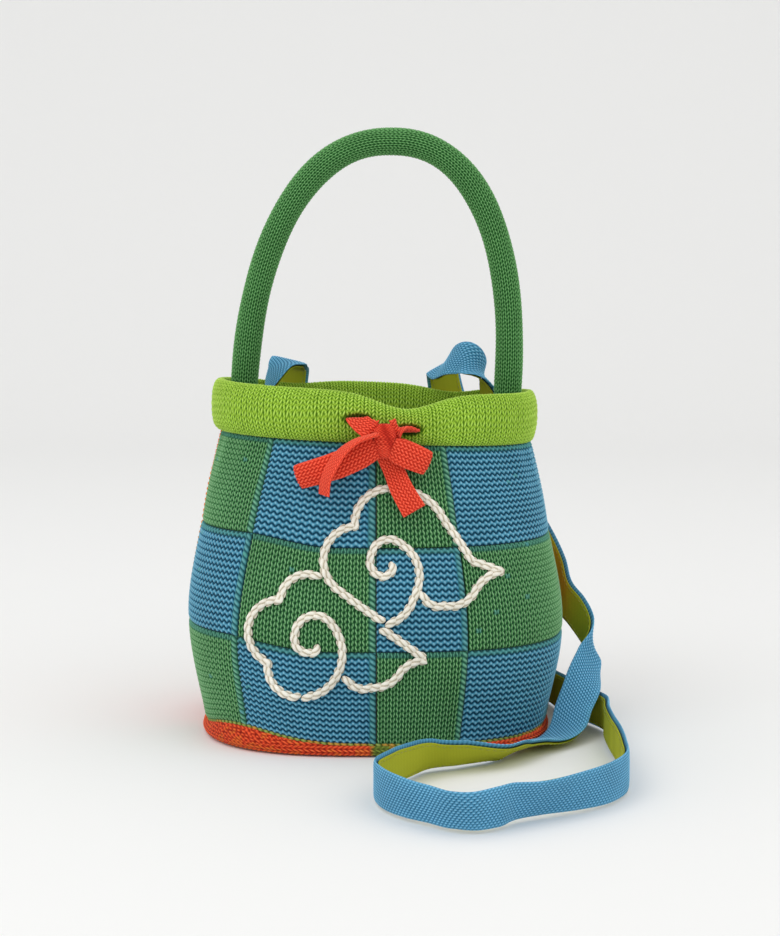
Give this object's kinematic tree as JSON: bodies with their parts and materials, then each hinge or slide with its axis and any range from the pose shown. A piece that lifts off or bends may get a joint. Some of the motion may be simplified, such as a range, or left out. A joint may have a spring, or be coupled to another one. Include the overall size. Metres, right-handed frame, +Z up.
{
  "type": "mini bag",
  "caption": "Small knitted patchwork bucket bag with a stuffed arch handle, a lined shoulder strap, a rolled rim and a drawstring bow.",
  "frame": {"origin": "centre of the flat bottom, on the surface that the bag stands on", "axes": "+Z up through the mouth, -Y towards the front with the bow, +X to the right seen from the front"},
  "size_m": [0.2347, 0.3526, 0.3368],
  "materials": {
    "green_knit": "stocking stitch in green cotton with blue flecks",
    "blue_knit": "purl stitch in light blue cotton over dark teal",
    "red_orange_knit": "stocking stitch in red and orange cotton",
    "orange_green_knit": "stocking stitch in green plated with orange",
    "lime_knit": "fine stocking stitch in lime cotton",
    "red_tie_knit": "fine flat knit in red cotton",
    "handle_knit": "fine tubular knit in green cotton",
    "strap_knit": "fine flat knit in blue cotton",
    "olive_lining": "plain woven olive cloth with stitched edges",
    "cotton_lining": "plain woven cotton",
    "cream_yarn": "thick stranded cotton yarn",
    "stuffing": "soft polyester stuffing"
  },
  "bodies": {
    "bag": {"base_left": "red_orange_knit", "base_middle": "orange_green_knit", "base_right": "red_orange_knit", "base_seam": "orange_green_knit", "drawstring_band": "red_tie_knit", "handle_end_left": "handle_knit", "handle_end_right": "handle_knit", "lining_back": "cotton_lining", "lining_base": "cotton_lining", "lining_front": "cotton_lining", "lower_cloud_curl": "cream_yarn", "lower_cloud_outline_left": "cream_yarn", "lower_cloud_outline_right": "cream_yarn", "patch_back_row1_column1": "orange_green_knit", "patch_back_row1_column2": "red_orange_knit", "patch_back_row1_column3": "orange_green_knit", "patch_back_row1_column4": "red_orange_knit", "patch_back_row2_column1": "red_orange_knit", "patch_back_row2_column2": "orange_green_knit", "patch_back_row2_column3": "red_orange_knit", "patch_back_row2_column4": "orange_green_knit", "patch_back_row3_column1": "orange_green_knit", "patch_back_row3_column2": "red_orange_knit", "patch_back_row3_column3": "orange_green_knit", "patch_back_row3_column4": "red_orange_knit", "patch_front_row1_column1": "green_knit", "patch_front_row1_column2": "blue_knit", "patch_front_row1_column3": "green_knit", "patch_front_row1_column4": "blue_knit", "patch_front_row2_column1": "blue_knit", "patch_front_row2_column2": "green_knit", "patch_front_row2_column3": "blue_knit", "patch_front_row2_column4": "green_knit", "patch_front_row3_column1": "green_knit", "patch_front_row3_column2": "blue_knit", "patch_front_row3_column3": "green_knit", "patch_front_row3_column4": "blue_knit", "rim_casing": "lime_knit", "side_seam_left": "red_orange_knit", "side_seam_right": "red_orange_knit", "strap_face": "strap_knit", "strap_lining": "olive_lining", "upper_cloud_curl": "cream_yarn", "upper_cloud_outline": "cream_yarn"},
    "handle": {"handle_cover": "handle_knit", "handle_core": "stuffing"},
    "bow": {"bow_knot": "red_tie_knit", "bow_loop_left": "red_tie_knit", "bow_loop_right": "red_tie_knit", "bow_tail_left": "red_tie_knit", "bow_tail_right": "red_tie_knit", "bow_lead_left": "red_tie_knit", "bow_lead_right": "red_tie_knit"}
  },
  "joints": [
    {"name": "handle_fold", "type": "hinge", "parent": "bag", "child": "handle", "pos_m": [0, 0, 0.191], "axis": [1, 0, 0], "range_deg": [-60, 60], "stiffness_Nm_per_rad": 0.08},
    {"name": "drawstring_pull", "type": "slide", "parent": "bag", "child": "bow", "axis": [0, -1, 0], "range_m": [0, 0.012]}
  ]
}
